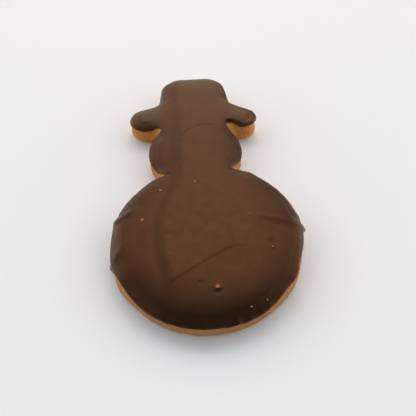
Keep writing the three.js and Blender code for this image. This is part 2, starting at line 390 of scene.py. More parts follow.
@dataclass(frozen=True)
class Plan:
    """The snowman seen from above, as fields that are negative inside."""

    body: Disc = Disc(0.1, -25.3, 30.3)
    body_skew: float = 0.26
    head: Oval = Oval(-0.75, 12.55, 17.3, 17.3)
    brim_middle: Disc = Disc(3.7, 37.2, 8.0)
    brim_left: Disc = Disc(-19.05, 31.95, 6.35)
    brim_right: Disc = Disc(19.3, 29.2, 5.55)
    crown: Crown = Crown()
    hat_fillet: float = 5.1
    cheek_fillet: float = 6.5
    neck_fillet: float = 3.6
    coat_cheek_fillet: float = 4.8
    coat_neck_fillet: float = 1.2
    spreads: tuple[Swell, ...] = (
        Swell(-154.0, 9.0, 0.5),
        Swell(-36.0, 9.0, 0.35),
        Swell(180.0, 15.0, -0.65),
    )
    runs: tuple[Swell, ...] = (
        Swell(180.0, 15.0, 0.6),
        Swell(166.0, 6.0, 0.3),
        Swell(-168.0, 6.0, 0.25),
        Swell(-147.0, 11.0, -0.5),
        Swell(-24.0, 14.0, -0.45),
        Swell(2.0, 8.0, 0.35),
    )
    bites: tuple[Bite, ...] = (
        Bite(15.0, 29.8, 2.3, 4.5),
        Bite(-13.2, 24.6, 0.5, 2.6),
        Bite(-12.0, -0.6, 1.7, 3.2),
        Bite(11.2, 2.2, 1.5, 3.6),
        Bite(-26.0, -37.5, 0.5, 4.0),
        Bite(26.5, -36.5, 0.45, 5.0),
        Bite(22.0, -47.2, 0.75, 5.0),
    )

    def angle(self, x: Array, y: Array) -> Array:
        """Return the polar angle about the body's middle."""
        return np.arctan2(y - self.body.y, x - self.body.x)

    def body_field(self, x: Array, y: Array) -> Array:
        """Return the field of the round body, a little longer on one diagonal."""
        radius = self.body.radius + self.body_skew * np.sin(2.0 * self.angle(x, y))
        return np.hypot(x - self.body.x, y - self.body.y) - radius

    @staticmethod
    def bar_field(x: Array, y: Array, start: Disc, end: Disc) -> Array:
        """Return the field of a bar that tapers between two round ends.

        Args:
            x: Places across.
            y: Places along.
            start: Round at one end.
            end: Round at the other end.

        Returns:
            The field's values.
        """
        across, along = end.x - start.x, end.y - start.y
        share = ((x - start.x) * across + (y - start.y) * along) / (across**2 + along**2)
        share = np.clip(share, 0.0, 1.0)
        reach = np.hypot(x - start.x - across * share, y - start.y - along * share)
        return reach - (start.radius + (end.radius - start.radius) * share)

    def crown_field(self, x: Array, y: Array) -> Array:
        """Work out the field of the hat's crown.

        Args:
            x: Places across.
            y: Places along.

        Returns:
            The field's values.
        """
        crown = self.crown
        base = crown.half_base - crown.corner
        top = crown.half_top - crown.corner
        height = crown.half_height - crown.corner
        px, py = np.abs(x - crown.x), y - crown.y
        lean, rise = top - base, 2.0 * height
        cap_x = px - np.minimum(px, np.where(py < 0, base, top))
        cap_y = np.abs(py) - height
        share = ((top - px) * lean + (height - py) * rise) / (lean**2 + rise**2)
        share = np.clip(share, 0.0, 1.0)
        side_x = px - top + lean * share
        side_y = py - height + rise * share
        sign = np.where((side_x < 0) & (cap_y < 0), -1.0, 1.0)
        near = np.minimum(np.hypot(cap_x, cap_y), np.hypot(side_x, side_y))
        return sign * near - crown.corner

    def figure(self, x: Array, y: Array, cheek: float, neck: float) -> Array:
        """Return the field of the whole figure before the dough spread.

        Args:
            x: Places across.
            y: Places along.
            cheek: Fillet between the brim and the head.
            neck: Fillet between the head and the body.

        Returns:
            The field's values, negative inside.
        """
        left = self.bar_field(x, y, self.brim_middle, self.brim_left)
        right = self.bar_field(x, y, self.brim_middle, self.brim_right)
        hat = blend(np.minimum(left, right), self.crown_field(x, y), self.hat_fillet)
        upper = blend(hat, self.head.field(x, y), cheek)
        return blend(upper, self.body_field(x, y), neck) - self.swelling(x, y, self.spreads)

    def swelling(self, x: Array, y: Array, swells: Iterable[Swell]) -> Array:
        """Add up how far swells push the body's edge out.

        Args:
            x: Places across.
            y: Places along.
            swells: The swells.

        Returns:
            The push at each place.
        """
        angle = self.angle(x, y)
        reach = fade(self.body_field(x, y), -self.body.radius / 2.0, 0.0)
        total = np.zeros_like(angle)
        for swell in swells:
            turn = angle - math.radians(swell.angle)
            offset = np.arctan2(np.sin(turn), np.cos(turn))
            total = total + reach * swell.rise * bell(offset, math.radians(swell.width))
        return total

    def biscuit(self, x: Array, y: Array) -> Array:
        """Return the field of the baked biscuit at its widest line."""
        return self.figure(x, y, self.cheek_fillet, self.neck_fillet)

    def coat(self, x: Array, y: Array) -> Array:
        """Return the field of the chocolate's outer side, cut deeper at cheeks and neck."""
        figure = self.figure(x, y, self.coat_cheek_fillet, self.coat_neck_fillet)
        return figure - self.swelling(x, y, self.runs) + sum(b.at(x, y) for b in self.bites)


class Edge:
    """A closed line round the figure, with the way inwards at each of its points."""

    walk_step = 0.8
    least_steps = 9
    finer = 5
    even_depth = 2.0

    def __init__(self, plan: PlanField, low: Disc, count: int) -> None:
        """Walk once round a field's zero line and share points along it.

        Lines inside the edge are longer than the edge round a notch and shorter round
        an end, so the points are shared evenly along the mean of the edge and one of them.

        Args:
            plan: The field whose zero line is wanted.
            low: The round at whose lowest point the walk starts.
            count: How many points are wanted.
        """
        self.plan = plan
        self.count = count
        x, y = self.walk(low)
        x, y = settle(plan, *self.shared(x, y, self.lengths(x, y), self.finer * count), 0.0)
        self.tree = kdtree.KDTree(len(x))
        for index, place in enumerate(zip(x, y)):
            self.tree.insert((*place, 0.0), index)
        self.tree.balance()
        in_x, in_y = self.inwards(x, y)
        inner = self.lengths(x + in_x * self.even_depth, y + in_y * self.even_depth)
        shared = self.shared(x, y, self.lengths(x, y) + inner, count)
        self.x, self.y = settle(plan, *shared, 0.0)
        self.in_x, self.in_y = self.inwards(self.x, self.y)

    def walk(self, low: Disc) -> Pair:
        """Walk along the line, anticlockwise from a low point, until it closes.

        Args:
            low: The round at whose lowest point the walk starts.

        Returns:
            Places a step apart.
        """
        x, y = settle(self.plan, np.float64(low.x), np.float64(low.y - low.radius), 0.0)
        xs, ys = [x], [y]
        while len(xs) < self.least_steps or self.gap(xs, ys) > self.walk_step:
            across, along = slope_of(self.plan, xs[-1], ys[-1])
            stride = self.walk_step / np.hypot(across, along)
            x, y = settle(self.plan, xs[-1] - along * stride, ys[-1] + across * stride, 0.0)
            xs.append(x)
            ys.append(y)
        return np.array(xs), np.array(ys)

    @staticmethod
    def gap(xs: list[float], ys: list[float]) -> float:
        """Return the distance between the two ends of a walk."""
        return math.hypot(xs[-1] - xs[0], ys[-1] - ys[0])

    def inwards(self, x: Array, y: Array) -> Pair:
        """Work out the unit direction inwards.

        Args:
            x: Places across, on the line.
            y: Places along, on the line.

        Returns:
            The direction's part across and its part along.
        """
        across, along = slope_of(self.plan, x, y)
        steep = np.hypot(across, along)
        return -across / steep, -along / steep

    @staticmethod
    def lengths(x: Array, y: Array) -> Array:
        """Return the length walked up to each point of a closed line, and all round it."""
        sides = np.hypot(np.roll(x, -1) - x, np.roll(y, -1) - y)
        return np.concatenate(([0.0], np.cumsum(sides)))

    @staticmethod
    def shared(x: Array, y: Array, walked: Array, count: int) -> Pair:
        """Share new points evenly along a closed line.

        Args:
            x: The line's places across.
            y: The line's places along.
            walked: The length up to each of them, and all round.
            count: How many new points are wanted.

        Returns:
            The new points' places.
        """
        wanted = np.arange(count) * walked[-1] / count
        closed = (np.append(values, values[0]) for values in (x, y))
        across, along = (np.interp(wanted, walked, values) for values in closed)
        return across, along

    def inset(self, depth: Array | float) -> Pair:
        """Return the line's points moved inwards by a depth, one for all or one for each."""
        return self.x + self.in_x * depth, self.y + self.in_y * depth

    def depth_at(self, x: Array, y: Array) -> Array:
        """Return how far inside the line each place lies, negative outside it."""
        near = np.array([self.tree.find((*place, 0.0))[2] for place in zip(x, y)])
        return np.where(self.plan(x, y) < 0.0, near, -near)


# ---------------------------------------------------------------- relief of the coat


@dataclass(frozen=True)
class Ridge:
    """A soft ridge through a point, gone at one end and full at the other."""

    x: float
    y: float
    slope: float
    sag: float
    width: float
    start: float
    end: float
    height: float = 0.36

    def at(self, x: Array, y: Array) -> Array:
        """Return the height that the ridge adds."""
        line = self.y + self.slope * (x - self.x) - self.sag * (x - self.x) ** 2
        return self.height * fade(x, self.start, self.end) * bell(y - line, self.width)


@dataclass(frozen=True)
class Mark:
    """A small bump, or a pit where the height is negative."""

    x: float
    y: float
    height: float
    width: float
    length: float

    def at(self, x: Array, y: Array) -> Array:
        """Return the height that the mark adds."""
        return self.height * bell(x - self.x, self.width) * bell(y - self.y, self.length)


@dataclass(frozen=True)
class SecondPour:
    """The second pour of chocolate, with the rolled lip along its left edge."""

    height: float = 0.2
    left: float = -7.2
    swing: float = 7.3
    swing_run: Ramp = Ramp(4.0, -22.0)
    back: float = 2.2
    back_run: Ramp = Ramp(-29.0, -42.0)
    left_rise: Ramp = Ramp(-2.4, 2.4)
    front_y: float = -31.4
    front_slope: float = 0.56
    front_bend: float = 6.3
    front_round: float = 1.5
    front_step: Ramp = Ramp(-0.4, 0.4)
    front_swell: Ramp = Ramp(-7.0, 1.0)
    full_right: Ramp = Ramp(5.0, 17.0)
    lip: Bump = Bump(1.6, 1.3, 0.05)
    trough: Bump = Bump(-2.2, 1.6, -0.1)
    lip_run: Ramp = Ramp(-4.0, 3.0)

    def left_edge(self, y: Array) -> Array:
        """Return how far left the pour reaches at a height of the figure."""
        return self.left - self.swing * self.swing_run.at(y) + self.back * self.back_run.at(y)

    def front_line(self, x: Array) -> Array:
        """Return how far down the figure the pour reaches."""
        bend = self.front_round * np.log1p(np.exp((self.front_bend - x) / self.front_round))
        return self.front_y - self.front_slope * bend

    def at(self, x: Array, y: Array) -> Array:
        """Work out the height that the pour adds.

        Args:
            x: Places across.
            y: Places along.

        Returns:
            The height at each place.
        """
        from_left = x - self.left_edge(y)
        from_front = y - self.front_line(x)
        past_front = (self.front_step.at(from_front) + self.front_swell.at(from_front)) / 2
        share = self.full_right.at(x) * (1.0 - past_front) + past_front
        lip = self.lip.at(from_left) + self.trough.at(from_left)
        flat = self.height * self.left_rise.at(from_left) * share
        return flat + lip * self.lip_run.at(from_front)


@dataclass(frozen=True)
class CoatRelief:
    """The chocolate's upper surface as a height over the plan."""

    plan: Plan
    poured: SecondPour = SecondPour()
    top: float = 9.1
    crown_drop: float = 0.75
    crown_reach: float = 18.0
    shoulder_reach: float = 6.0
    shoulder_drop: float = 2.9
    front_seam: Bump = Bump(0.0, 0.22, 0.0275)
    front_span: Stretch = Stretch(-15.0, 0.0, 9.0, 17.0)
    arc_middle: float = 4.2
    arc_top: float = 24.3
    arc_curve: float = 0.058
    arc_step: float = 0.12
    arc_plateau: Stretch = Stretch(-0.5, 0.5, 2.0, 9.0)
    arc_span: Stretch = Stretch(-7.0, -5.0, 6.0, 12.5)
    arc_seam: Bump = Bump(0.0, 0.42, 0.132)
    arc_deeper: Bump = Bump(0.0, 0.42, 0.11)
    arc_left: Ramp = Ramp(0.0, -6.0)
    wing_tilt: float = 0.02
    wing_reach: float = 6.0
    wing_across: Ramp = Ramp(9.0, 15.0)
    wing_along: Stretch = Stretch(17.0, 22.0, 37.0, 42.0)
    valley_x: float = -11.84
    valley_lean: float = 0.12
    valley: Bump = Bump(0.0, 2.3, 0.26)
    valley_along: Stretch = Stretch(0.0, 10.0, 38.0, 52.0)
    near_drop: float = 0.5
    near_reach: float = 12.0
    near_along: Ramp = Ramp(-24.0, -42.0)
    cheek_drop: float = 0.45
    cheek_across: Ramp = Ramp(6.0, 15.0)
    cheek_along: Stretch = Stretch(-2.0, 6.0, 19.0, 27.0)
    pale_left: Ramp = Ramp(-1.6, 4.0)
    pale_right: Ramp = Ramp(24.0, 8.0)
    # painted sheen: these bound the brim's wings, whose colour stands in for their reflection
    wing_sheen_across: Ramp = Ramp(10.0, 17.0)
    wing_sheen_along: Ramp = Ramp(18.0, 23.0)
    wave: Grain = Grain(0.06, 11.0, 2, 3.7)
    ridges: tuple[Ridge, ...] = (
        Ridge(10.0, -19.9, 0.0, 0.012, 2.0, 10.0, 22.0, 0.38),
        Ridge(-20.4, -13.6, 0.5, 0.0, 1.2, -18.0, -26.0, 0.42),
        Ridge(-25.4, -27.2, 1.4, 0.0, 2.0, -22.0, -27.0, 0.2),
        Ridge(-9.5, 40.5, 0.36, 0.0, 1.3, -5.0, -9.5, 0.07),
        Ridge(11.6, 39.8, -0.6, 0.0, 1.3, 6.5, 11.0, 0.07),
    )
    marks: tuple[Mark, ...] = (
        Mark(1.2, -44.5, 0.34, 0.75, 0.6),
        Mark(1.3, -46.0, -0.16, 0.8, 0.45),
        Mark(-3.4, -42.7, -0.2, 0.5, 0.35),
        Mark(18.9, -29.3, 0.2, 1.1, 0.9),
        Mark(19.1, -32.9, 0.14, 0.5, 0.4),
        Mark(14.3, -20.0, 0.1, 0.5, 0.4),
        Mark(9.8, -50.9, 0.1, 0.6, 0.4),
        Mark(14.9, -50.3, 0.05, 0.5, 0.7),
        Mark(-11.5, -25.6, -0.08, 1.2, 0.8),
        Mark(-11.7, -31.7, -0.08, 1.0, 0.6),
        Mark(-7.0, 15.9, -0.07, 0.9, 0.7),
        Mark(-7.6, 2.9, -0.14, 0.5, 0.9),
        Mark(-11.5, 0.4, -0.36, 1.0, 0.6),
        Mark(11.2, 0.7, -0.36, 1.0, 0.6),
    )

    def seams(self, x: Array, y: Array) -> Array:
        """Work out the grooves along the pour's front and over the forehead.

        Args:
            x: Places across.
            y: Places along.

        Returns:
            The height at each place, with the low step above the forehead's groove.
        """
        front = self.front_seam.at(y - self.poured.front_line(x)) * self.front_span.at(x)
        arc = y - self.arc_top + self.arc_curve * (x - self.arc_middle) ** 2
        groove = self.arc_seam.at(arc) + self.arc_deeper.at(arc) * self.arc_left.at(x)
        step = self.arc_step * self.arc_plateau.at(arc)
        return (step - groove) * self.arc_span.at(x) - front

    def wings(self, x: Array, y: Array) -> Array:
        """Work out the tilt of the brim's two wings, lower on the side of the head.

        Args:
            x: Places across.
            y: Places along.

        Returns:
            The height at each place.
        """
        plan = self.plan
        middle = np.where(x < plan.crown.x, plan.brim_left.y, plan.brim_right.y)
        tilt = self.wing_tilt * np.clip(y - middle, -self.wing_reach, self.wing_reach)
        return tilt * self.wing_across.at(np.abs(x - plan.crown.x)) * self.wing_along.at(y)

    def dips(self, x: Array, y: Array) -> Array:
        """Work out the valley beside the pour, and the fall to the near edge and the cheeks.

        Args:
            x: Places across.
            y: Places along.

        Returns:
            How much lower each place lies.
        """
        valley = self.valley.at(x - self.valley_x - self.valley_lean * y) * self.valley_along.at(y)
        near = self.near_drop * closeness(-self.plan.coat(x, y), self.near_reach)
        aside = self.cheek_across.at(np.abs(x - self.plan.head.x))
        cheek = self.cheek_drop * aside * self.cheek_along.at(y)
        return valley + near * self.near_along.at(y) + cheek

    def tone(self, x: Array, y: Array) -> Array:
        """Work out the coat's tone.

        Args:
            x: Places across.
            y: Places along.

        Returns:
            1 in the second pour, 0 beside it and -1 on the brim's wings, where the finish lays a
            painted sheen.
        """
        pale = self.pale_left.at(x - self.poured.left_edge(y)) * self.pale_right.at(x)
        # the wings' share lays the painted sheen in the finish
        painted_wing_sheen = self.wing_sheen_across.at(np.abs(x - self.plan.crown.x)) * self.wing_sheen_along.at(y)
        return pale * (1.0 - painted_wing_sheen) - painted_wing_sheen

    def crowned(self, depth: Array) -> Array:
        """Return the long shallow crown's height at a distance from the edge."""
        return self.top - self.crown_drop * closeness(depth, self.crown_reach)

    def shoulder(self, depth: Array) -> Array:
        """Return how far the rounded shoulder drops at a distance from the edge."""
        return self.shoulder_drop * rounding(1.0 - depth / self.shoulder_reach)

    def detail(self, x: Array, y: Array) -> Array:
        """Add up what the pours, seams, ridges and marks add to the crown.

        Args:
            x: Places across.
            y: Places along.

        Returns:
            The height at each place.
        """
        level = self.poured.at(x, y) + self.seams(x, y) + self.wings(x, y) - self.dips(x, y)
        level = level + sum(raised.at(x, y) for raised in (*self.ridges, *self.marks))
        return level + self.wave.at(over_plan(x, y))


@dataclass(frozen=True)
class Hem:
    """The coat's lower edge on the side of the biscuit."""

    plan: Plan
    level: float = 5.9
    tilt: float = 0.011
    lowest: float = 0.8
    waves: tuple[Wave, ...] = (Wave(0.26, 7.0, 0.6), Wave(0.156, 12.0, 2.0))
    jags: Grain = Grain(0.234, 2.4, 3, 8.1)
    brim_lift: Patch = Patch(0.9, Ramp(8.0, 18.0), Ramp(18.0, 26.0))
    left_tuck: Patch = Patch(0.5, Ramp(-18.0, -25.0), Stretch(-47.0, -41.0, -31.0, -27.0))
    right_tuck: Patch = Patch(0.7, Ramp(8.0, 17.0), Stretch(-54.0, -48.0, -31.0, -27.0))
    curtain: Patch = Patch(-6.0, Ramp(-18.0, -25.0), Stretch(-34.6, -33.4, -18.0, -14.0))
    apron: Patch = Patch(-0.6, Ramp(18.0, 25.0), Stretch(-35.0, -32.5, -26.0, -22.0))
    drip: Patch = Patch(-3.4, Ramp(18.0, 25.0), Bump(-24.6, 1.8))
    nicks: tuple[Mark, ...] = (
        Mark(-19.6, -50.0, 0.8, 0.5, 0.5),
        Mark(-15.5, -52.3, 0.7, 0.4, 0.4),
        Mark(6.1, -55.2, 0.7, 0.45, 0.6),
        Mark(15.3, -51.3, 0.2, 0.8, 0.8),
    )

    def at(self, x: Array, y: Array) -> Array:
        """Work out the height of the hem.

        Args:
            x: Places across, on the outline.
            y: Places along, on the outline.

        Returns:
            The hem's height beside each place.
        """
        angle = self.plan.angle(x, y)
        level = self.level + self.tilt * x + self.jags.at(over_plan(x, y))
        level = level + sum(wave.at(angle) for wave in self.waves)
        tucks = (self.brim_lift, self.left_tuck, self.right_tuck)
        falls = (self.curtain, self.apron, self.drip)
        shaped = sum(item.at(x, y) for item in (*tucks, *falls, *self.nicks))
        return np.maximum(level + shaped, self.lowest)


@dataclass(frozen=True)
class Bead:
    """A bead of set chocolate that stands out from the coat's side."""

    angle: float
    radius: float
    proud: float
    low: float
    high: float

    def at(self, plan: Plan, x: Array, y: Array, z: Array) -> Array:
        """Return how far the bead pushes the side out.

        Args:
            plan: The plan that gives the body's middle.
            x: Places across.
            y: Places along.
            z: Heights.

        Returns:
            The push for each place, in millimetres.
        """
        turn = math.radians(self.angle)
        middle_x = plan.body.x + plan.body.radius * math.cos(turn)
        middle_y = plan.body.y + plan.body.radius * math.sin(turn)
        aside = bell(np.hypot(x - middle_x, y - middle_y), self.radius)
        return self.proud * aside * bell(z - (self.low + self.high) / 2, (self.high - self.low) / 2)


# ---------------------------------------------------------------- growing a skin


class RingSkin:
    """A closed skin grown from a circle of vertices, one ring at a time."""

    rim_kept = 1.6
    rim_gap = 0.75

    def __init__(self, count: int, shift: Vector) -> None:
        """Start with a ring of vertices.

        Args:
            count: How many vertices each ring has.
            shift: How far the plan is moved to lie in the frame, in millimetres.
        """
        self.shift = shift
        self.mesh = bmesh.new()
        self.column = self.mesh.verts.layers.int.new("column")
        self.marks = self.mesh.verts.layers.float.new(Layer.HEM_HIGHLIGHT.value)
        ring = bmesh.ops.create_circle(self.mesh, cap_ends=False, radius=MM, segments=count)
        for index, vertex in enumerate(ring["verts"]):
            vertex[self.column] = index
        self.rim = ring["verts"]

    def rim_edges(self) -> list[bmesh.types.BMEdge]:
        """Find the edges of the open rim.

        Returns:
            The edges whose two ends both lie on the rim.
        """
        rim = set(self.rim)
        edges = {edge for vertex in rim for edge in vertex.link_edges}
        return [edge for edge in edges if all(end in rim for end in edge.verts)]

    def places(self, vertices: Iterable[Vert]) -> Pair:
        """Return the vertices' places in the plan's own coordinates."""
        x, y = np.array([vertex.co.xy for vertex in vertices]).T / MM
        return x - self.shift.x, y - self.shift.y

    def lay(self, x: Array, y: Array, z: Array) -> None:
        """Lay the open rim's vertices at new places.

        Args:
            x: Each column's place across, in the plan.
            y: Its place along.
            z: Its height.
        """
        for vertex in self.rim:
            i = vertex[self.column]
            vertex.co = ((x[i] + self.shift.x) * MM, (y[i] + self.shift.y) * MM, z[i] * MM)

    def grow(self, x: Array, y: Array, z: Array) -> None:
        """Extrude the open rim and lay the new ring.

        Args:
            x: Each column's place across, in the plan.
            y: Its place along.
            z: Its height.
        """
        grown = bmesh.ops.extrude_edge_only(self.mesh, edges=self.rim_edges())["geom"]
        self.rim = [item for item in grown if isinstance(item, Vert)]
        self.lay(x, y, z)

    def fill(self, edges: list[bmesh.types.BMEdge]) -> None:
        """Fill a closed border with triangles."""
        bmesh.ops.triangle_fill(self.mesh, use_beauty=True, edges=edges, normal=UPWARDS)

    def plain_cap(self) -> None:
        """Close the open rim with as few triangles as it needs."""
        self.fill(self.rim_edges())

    def close_start(self) -> None:
        """Fill the border that the first ring left open."""
        self.fill([edge for edge in self.mesh.edges if edge.is_boundary])

    def soften(self, vertices: list[Vert], upright: bool) -> None:
        """Smooth vertices once, upright or in plan."""
        axes = {"use_axis_x": not upright, "use_axis_y": not upright, "use_axis_z": upright}
        bmesh.ops.smooth_vert(self.mesh, verts=vertices, factor=0.5, **axes)

    def fine_cap(
        self,
        edge: Edge,
        depth: float,
        cell: float,
        form: PlanField,
        detail: PlanField,
        rounds: int = 0,
    ) -> None:
        """Close the open rim with a fine grid that follows a height over the plan.

        Args:
            edge: The line that the rim follows.
            depth: How far inside the line the rim lies.
            cell: Size of the grid's cells.
            form: Gives the surface's main height over the plan.
            detail: Gives the fine height over the plan that is added to the main one.
            rounds: How often the main height is smoothed away from the rim, before the detail.
        """
        edges = self.rim_edges()
        span = max(abs(value) for vertex in self.rim for value in vertex.co.xy) + cell * MM
        steps = math.ceil(2.0 * span / (cell * MM))
        level = Matrix.Translation((0.0, 0.0, self.rim[0].co.z))
        grid = bmesh.ops.create_grid(
            self.mesh, x_segments=steps, y_segments=steps, size=span, matrix=level
        )["verts"]
        inside = edge.depth_at(*self.places(grid)) > depth + self.rim_gap * cell
        spare = [vertex for vertex, keep in zip(grid, inside) if not keep]
        kept = [vertex for vertex, keep in zip(grid, inside) if keep]
        bmesh.ops.delete(self.mesh, geom=spare, context="VERTS")
        kept = self.without_pinches(kept)
        border = [e for v in kept for e in v.link_edges if e.is_boundary]
        self.fill(list(dict.fromkeys(edges + border)))
        self.soften(list(dict.fromkeys(v for e in border for v in e.verts)), upright=False)
        across, along = self.places(kept)
        for vertex, value in zip(kept, form(across, along)):
            vertex.co.z = value * MM
        far_in = edge.depth_at(across, along) > depth + self.rim_kept
        deep = [vertex for vertex, smoothed in zip(kept, far_in) if smoothed]
        for _ in range(rounds):
            self.soften(deep, upright=True)
        for vertex, value in zip(kept, detail(across, along)):
            vertex.co.z += value * MM

    def without_pinches(self, kept: list[Vert]) -> list[Vert]:
        """Drop grid vertices that hang loose or join two cells at a corner only.

        Args:
            kept: The grid's vertices.

        Returns:
            Those that stay.
        """
        while True:
            loose = [
                vertex
                for vertex in kept
                if not vertex.link_faces or sum(e.is_boundary for e in vertex.link_edges) > 2
            ]
            if not loose:
                return kept
            gone = set(loose)
            kept = [vertex for vertex in kept if vertex not in gone]
            bmesh.ops.delete(self.mesh, geom=loose, context="VERTS")

    def mark(self, values: Array) -> None:
        """Store values at the vertices of the open rim, for the finish to use: here the painted
        highlight along the hem.
        """
        for vertex in self.rim:
            vertex[self.marks] = values[vertex[self.column]]

    def paint(self, layer: Layer, tone: PlanField) -> None:
        """Store a tone over the plan at every vertex.

        Args:
            layer: Where the finish finds it.
            tone: The tone over the plan.
        """
        stored = self.mesh.verts.layers.float.new(layer.value)
        for vertex, value in zip(self.mesh.verts, tone(*self.places(self.mesh.verts))):
            vertex[stored] = value

    def finish(self, name: str, material: Material) -> Piece:
        """Turn the faces outwards and make the piece.

        Args:
            name: The piece's name.
            material: Its finish.

        Returns:
            The finished piece, at the origin.
        """
        bmesh.ops.recalc_face_normals(self.mesh, faces=self.mesh.faces)
        return finished_piece(self.mesh, name, material)


def finished_piece(shape: bmesh.types.BMesh, name: str, material: Material) -> Piece:
    """Make a smooth-shaded piece from a bmesh, and free the bmesh.

    Args:
        shape: The shape, in metres.
        name: The piece's name.
        material: Its finish.

    Returns:
        The piece, linked to the scene.
    """
    for face in shape.faces:
        face.smooth = True
    mesh = bpy.data.meshes.new(name)
    shape.to_mesh(mesh)
    shape.free()
    mesh.materials.append(material)
    piece = bpy.data.objects.new(name, mesh)
    bpy.context.scene.collection.objects.link(piece)
    return piece


# ---------------------------------------------------------------- finishes


@dataclass(frozen=True)
class Band:
    """How a range of values turns into another, eased at both ends."""

    low: float
    high: float
    start: float = 0.0
    end: float = 1.0


@dataclass(frozen=True)
class Clouds:
    """Soft noise: the size of its largest lumps in millimetres, and its fineness."""

    size: float
    detail: float
    roughness: float = 0.5


class Graph:
    """A node tree under construction."""

    mixed_inputs = (6, 7)
    mixed_output = 2

    def __init__(self, tree: bpy.types.NodeTree) -> None:
        """Keep the tree."""
        self.tree = tree

    def node(self, kind: str, inputs: Inputs | None = None, **settings: object) -> bpy.types.Node:
        """Add a node.

        Args:
            kind: The node's type.
            inputs: Constants for its sockets.
            **settings: Its settings.

        Returns:
            The node.
        """
        node = self.tree.nodes.new(kind)
        for key, value in settings.items():
            setattr(node, key, value)
        for key, value in (inputs or {}).items():
            node.inputs[key].default_value = value
        return node

    def join(self, source: Socket, target: Socket) -> None:
        """Link one socket to another."""
        self.tree.links.new(source, target)

    def spread(self, source: Socket, band: Band) -> Socket:
        """Turn a range of values into another.

        Args:
            source: The value.
            band: The two ranges.

        Returns:
            The new value.
        """
        ends = {"From Min": band.low, "From Max": band.high, "To Min": band.start, "To Max": band.end}
        mapped = self.node("ShaderNodeMapRange", ends, interpolation_type="SMOOTHSTEP")
        self.join(source, mapped.inputs["Value"])
        return mapped.outputs["Result"]

    def mix(self, share: Socket, first: Socket | Colour, second: Colour) -> Socket:
        """Mix two colours by a share.

        Args:
            share: How much of the second colour shows.
            first: A colour, or the result of an earlier mix.
            second: The other colour.

        Returns:
            The mixed colour.
        """
        mix = self.node("ShaderNodeMix", data_type="RGBA")
        first_colour, second_colour = (mix.inputs[number] for number in self.mixed_inputs)
        self.join(share, mix.inputs["Factor"])
        if isinstance(first, tuple):
            first_colour.default_value = (*first, 1.0)
        else:
            self.join(first, first_colour)
        second_colour.default_value = (*second, 1.0)
        return mix.outputs[self.mixed_output]

    def layered(self, first: Colour, layers: Iterable[tuple[Socket, Band, Colour]]) -> Socket:
        """Lay colours over a first one.

        Args:
            first: The colour that lies lowest.
            layers: A value, the band through which the next colour comes in, and that colour.

        Returns:
            The mixed colour.
        """
        colour = first
        for source, band, tone in layers:
            colour = self.mix(self.spread(source, band), colour, tone)
        return colour

    def work_out(self, operation: str, *values: Socket) -> Socket:
        """Work with one or two values.

        Args:
            operation: What is done with them.
            *values: The values.

        Returns:
            The outcome.
        """
        result = self.node("ShaderNodeMath", operation=operation)
        for value, target in zip(values, result.inputs):
            self.join(value, target)
        return result.outputs["Value"]

    def product(self, *factors: tuple[Socket, Band]) -> Socket:
        """Multiply values that each run through a band.

        Args:
            *factors: The values and their bands.

        Returns:
            The product.
        """
        total, *others = (self.spread(source, band) for source, band in factors)
        for other in others:
            total = self.work_out("MULTIPLY", total, other)
        return total


class Recipe(Graph):
    """A node material under construction."""

    def __init__(self, name: str) -> None:
        """Start a material with an empty principled shader.

        Args:
            name: The material's name.
        """
        self.material = bpy.data.materials.new(name)
        self.material.use_nodes = True
        super().__init__(self.material.node_tree)
        self.shader = self.tree.nodes["Principled BSDF"]
        self.place = self.millimetres()

    def millimetres(self) -> Socket:
        """Turn the piece's own coordinates into millimetres.

        Returns:
            The coordinates.
        """
        scaled = self.node("ShaderNodeMapping", {"Scale": (1 / MM, 1 / MM, 1 / MM)})
        self.join(self.node("ShaderNodeTexCoord").outputs["Object"], scaled.inputs["Vector"])
        return scaled.outputs["Vector"]

    def placed(self, kind: str, inputs: Inputs | None = None) -> bpy.types.Node:
        """Add a node that works on the piece's own coordinates.

        Args:
            kind: The node's type.
            inputs: Constants for its sockets.

        Returns:
            The node.
        """
        node = self.node(kind, inputs)
        self.join(self.place, node.inputs["Vector"])
        return node

    def clouds(self, clouds: Clouds) -> Socket:
        """Return soft noise of a size and fineness."""
        sizes = {"Scale": 1.0 / clouds.size, "Detail": clouds.detail, "Roughness": clouds.roughness}
        return self.placed("ShaderNodeTexNoise", sizes).outputs["Fac"]

    def cells(self, size: float) -> Socket:
        """Return the distance to the nearest of scattered points a size in millimetres apart."""
        return self.placed("ShaderNodeTexVoronoi", {"Scale": 1.0 / size}).outputs["Distance"]

    def along(self, axis: str) -> Socket:
        """Return the place along one of the frame's axes, in millimetres."""
        return self.placed("ShaderNodeSeparateXYZ").outputs[axis]

    def stored(self, layer: Layer) -> Socket:
        """Return a value that is stored at the piece's vertices."""
        return self.node("ShaderNodeAttribute", attribute_name=layer.value).outputs["Fac"]

    def feed(self, name: str, source: Socket) -> None:
        """Link a value to one of the shader's sockets."""
        self.join(source, self.shader.inputs[name])

    def plain(self, name: str, value: float | tuple[float, ...]) -> None:
        """Set a constant on one of the shader's sockets."""
        self.shader.inputs[name].default_value = value

    def bump(self, source: Socket, depth: float) -> None:
        """Add relief on top of what is there.

        Args:
            source: The relief's height, 0 to 1.
            depth: Its depth in millimetres.
        """
        bump = self.node("ShaderNodeBump", {"Distance": depth * MM})
        self.join(source, bump.inputs["Height"])
        current = self.shader.inputs["Normal"]
        if current.is_linked:
            self.join(current.links[0].from_socket, bump.inputs["Normal"])
        self.join(bump.outputs["Normal"], current)


